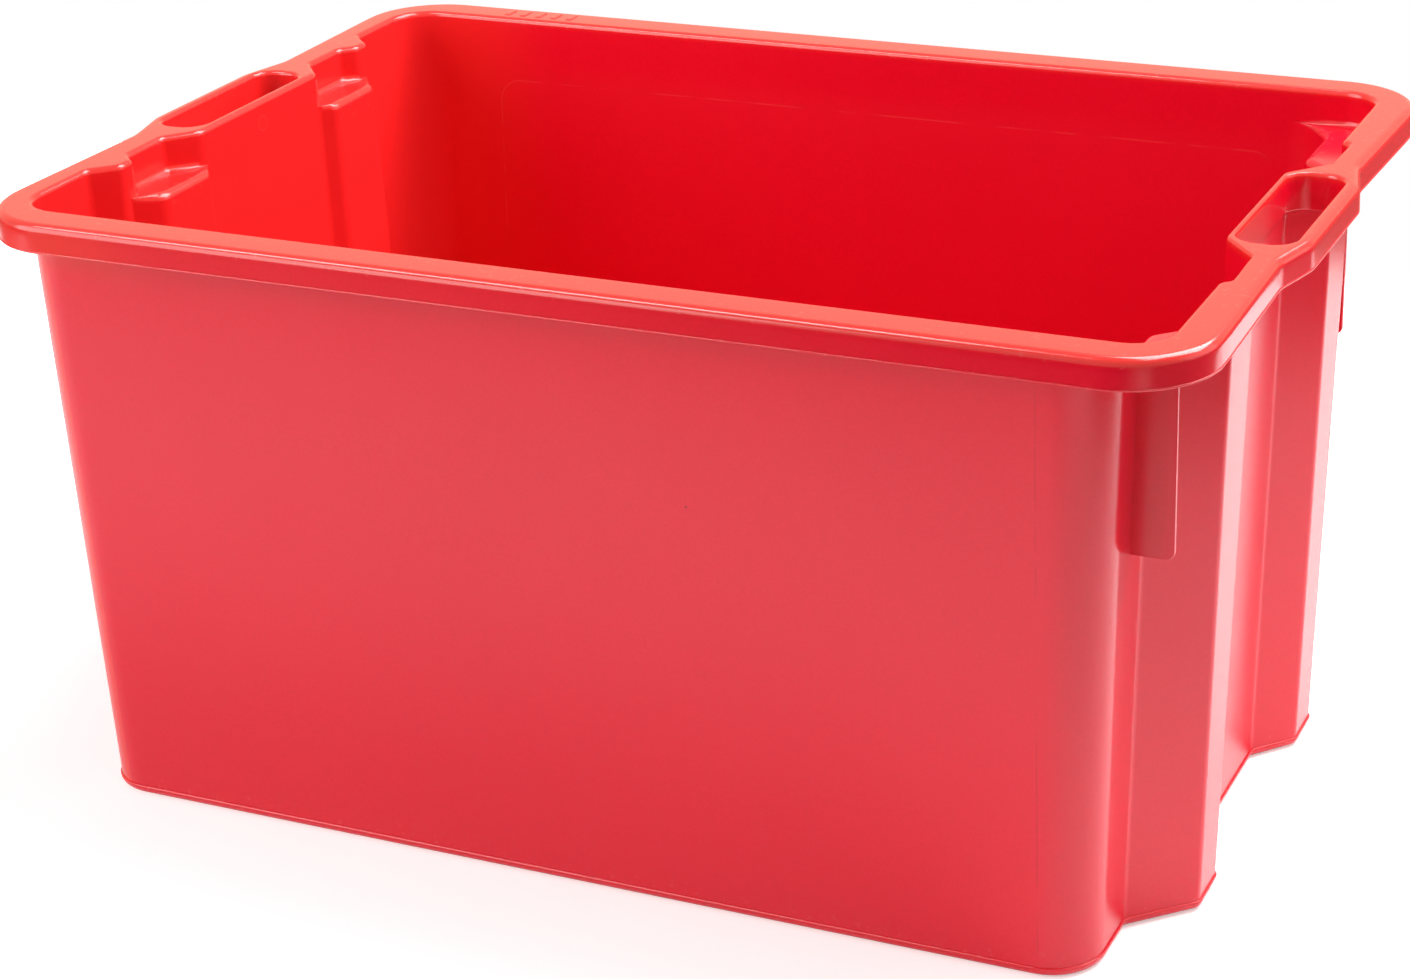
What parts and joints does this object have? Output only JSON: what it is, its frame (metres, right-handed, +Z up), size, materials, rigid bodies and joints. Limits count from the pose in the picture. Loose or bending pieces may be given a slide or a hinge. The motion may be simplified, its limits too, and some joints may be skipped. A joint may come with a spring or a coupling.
{
  "type": "stacking crate",
  "caption": "Red plastic harvest crate that stacks on ledges when turned half round and nests the same way round.",
  "frame": {"origin": "middle of the underside, on the surface that the crate stands on", "axes": "+X along the length, towards the end with the foot columns, +Z up, so the front long side looks towards -Y"},
  "size_m": [0.66, 0.46, 0.34],
  "materials": {
    "shell": "satin gloss, moulded polypropylene or polyethylene"
  },
  "bodies": {
    "root": {"floor_panel": "shell", "front_wall": "shell", "rear_wall": "shell", "front_right_post": "shell", "rear_right_post": "shell", "front_foot_column": "shell", "rear_foot_column": "shell", "right_recess_panel": "shell", "front_left_post": "shell", "rear_left_post": "shell", "front_ledge_column": "shell", "rear_ledge_column": "shell", "left_recess_panel": "shell", "front_right_ledge": "shell", "rear_right_ledge": "shell", "front_left_ledge": "shell", "rear_left_ledge": "shell", "front_right_stop": "shell", "rear_right_stop": "shell", "front_left_stop": "shell", "rear_left_stop": "shell", "front_rim": "shell", "rear_rim": "shell", "front_right_rim": "shell", "rear_right_rim": "shell", "front_left_rim": "shell", "rear_left_rim": "shell", "right_grip": "shell", "left_grip": "shell"}
  },
  "joints": []
}
